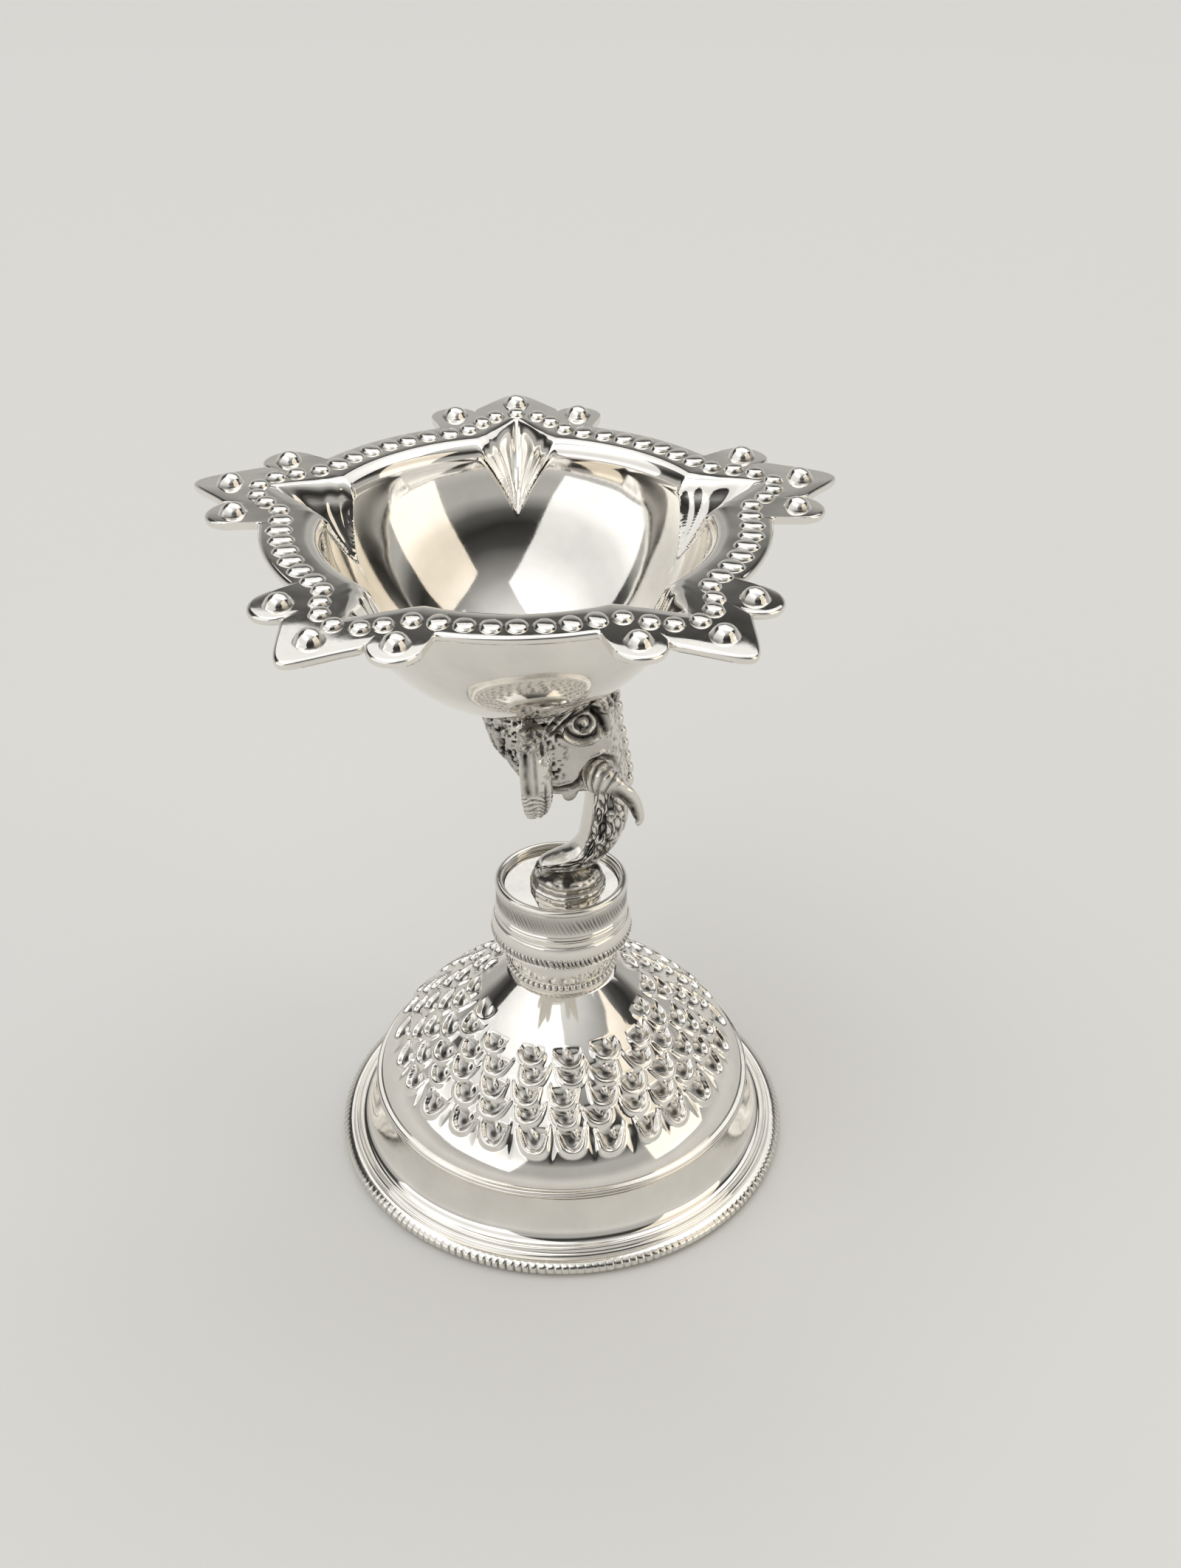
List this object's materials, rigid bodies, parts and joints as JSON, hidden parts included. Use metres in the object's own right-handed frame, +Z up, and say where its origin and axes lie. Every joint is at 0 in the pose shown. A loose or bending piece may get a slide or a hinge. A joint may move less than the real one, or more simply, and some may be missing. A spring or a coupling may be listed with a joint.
{
  "type": "aarti lamp",
  "caption": "Standing oil lamp: a shallow bowl with five pointed spouts and beaded trefoil tabs, carried on an elephant head whose trunk stands on a capped collar over a domed foot.",
  "frame": {"origin": "centre of the foot's underside, on the surface that the lamp stands on", "axes": "+Z up; +X the way the elephant faces, to 8 degrees; +Y to the elephant's left"},
  "size_m": [0.057, 0.0551, 0.0686],
  "materials": {
    "silver_sheet": "mirror-polished silver sheet",
    "silver_wire": "polished drawn silver wire",
    "silver_cast": "bright cast silver, darkened in its recesses"
  },
  "bodies": {
    "root": {"foot_rim_wire": "silver_wire", "foot_flange": "silver_sheet", "dome_ring": "silver_wire", "dome_shell": "silver_sheet", "neck_sleeve": "silver_sheet", "neck_beading": "silver_wire", "collar_ring": "silver_sheet", "cap_drum": "silver_sheet", "cap_rim_wire": "silver_wire", "cap_plate": "silver_sheet", "trunk_boss": "silver_cast", "elephant_head": "silver_cast", "ear_near": "silver_cast", "ear_far": "silver_cast", "tusk_near": "silver_cast", "tusk_far": "silver_cast", "forehead_beads": "silver_cast", "bowl": "silver_sheet"}
  },
  "joints": []
}
